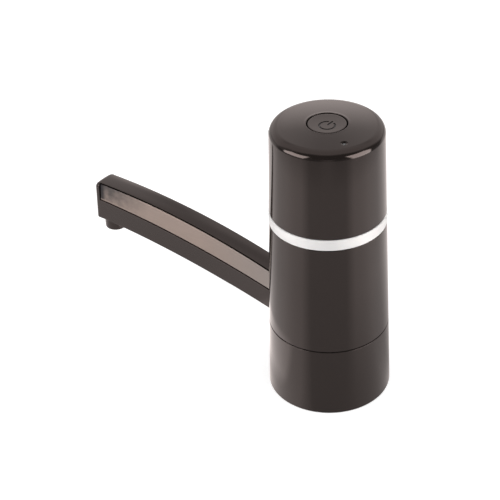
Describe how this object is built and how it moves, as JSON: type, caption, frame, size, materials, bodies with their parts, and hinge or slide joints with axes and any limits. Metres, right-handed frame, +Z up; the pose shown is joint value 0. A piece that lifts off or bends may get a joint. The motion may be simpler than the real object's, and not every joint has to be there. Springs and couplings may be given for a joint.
{
  "type": "electric water jug pump",
  "caption": "Tapering column pump for a large water bottle, with a long flat arched spout, a silver trim ring and a round push button in its crowned top.",
  "frame": {"origin": "on the column's axis, at the foot of the collar that goes over the bottle's neck", "axes": "+Z up along the column's axis, -X along the spout, towards its nozzle"},
  "size_m": [0.2107, 0.072, 0.1727],
  "materials": {
    "black_shell": "gloss",
    "silver_ring": "satin",
    "satin_strip": "satin",
    "silicone": "matte",
    "clear_plastic": "gloss",
    "inner_plastic": "matte",
    "steel": "satin",
    "brass": "satin",
    "board": "satin",
    "black_part": "matte",
    "magnet": "matte",
    "cell_wrap": "satin",
    "red_wire": "satin",
    "black_wire": "satin"
  },
  "bodies": {
    "column": {"base_collar": "black_shell", "neck_sleeve": "silicone", "neck_gasket": "silicone", "lower_housing": "black_shell", "trim_ring": "silver_ring", "upper_housing": "black_shell", "pump_deck": "inner_plastic", "inlet_nipple": "inner_plastic", "nipple_nut": "inner_plastic", "inlet_hose": "silicone", "outlet_hose": "silicone", "pump_body": "inner_plastic", "pump_cover": "inner_plastic", "motor_bracket": "inner_plastic", "shaft_seal": "silicone", "idler_pin": "steel", "motor_can": "steel", "motor_end_cap": "black_part", "motor_magnet_1": "magnet", "motor_magnet_2": "magnet", "battery_cradle": "black_part", "battery_cell": "cell_wrap", "battery_contact_negative": "brass", "battery_contact_positive": "brass", "control_board": "board", "switch_body": "black_part", "usb_socket": "steel", "status_led": "clear_plastic", "light_pipe": "clear_plastic", "spout_body": "black_shell", "spout_underside_cover": "black_shell", "spout_trim_near": "satin_strip", "spout_trim_far": "satin_strip", "spout_tube": "clear_plastic", "spout_nozzle": "black_shell", "motor_lead_1": "red_wire", "motor_lead_2": "black_wire", "battery_lead_1": "black_wire", "battery_lead_2": "red_wire", "deck_screw_1": "steel", "deck_screw_2": "steel", "deck_screw_3": "steel", "pump_screw_1": "steel", "pump_screw_2": "steel", "bracket_screw_1": "steel", "bracket_screw_2": "steel", "bracket_screw_3": "steel", "board_screw_1": "steel", "board_screw_2": "steel", "board_screw_3": "steel", "spout_screw_1": "steel", "spout_screw_2": "steel"},
    "button": {"power_button": "black_shell"},
    "plunger": {"switch_plunger": "inner_plastic"},
    "rotor": {"motor_shaft": "steel", "drive_gear": "inner_plastic", "motor_armature": "brass"},
    "idler": {"idler_gear": "inner_plastic"}
  },
  "joints": [
    {"name": "button_press", "type": "slide", "parent": "column", "child": "button", "axis": [0, 0, -1], "range_m": [0, 0.0006], "stiffness_N_per_m": 800, "springref_m": -0.001},
    {"name": "plunger_press", "type": "slide", "parent": "column", "child": "plunger", "axis": [0, 0, -1], "range_m": [0, 0.0006]},
    {"name": "rotor_spin", "type": "hinge", "parent": "column", "child": "rotor", "pos_m": [0.005, -0.013, 0.07], "axis": [0, 0, 1], "continuous": true},
    {"name": "idler_spin", "type": "hinge", "parent": "column", "child": "idler", "pos_m": [-0.0058, -0.013, 0.07], "axis": [0, 0, 1], "continuous": true}
  ],
  "couplings": [
    {"joint": "plunger_press", "follows": "button_press", "ratio": 1},
    {"joint": "idler_spin", "follows": "rotor_spin", "ratio": -1}
  ]
}
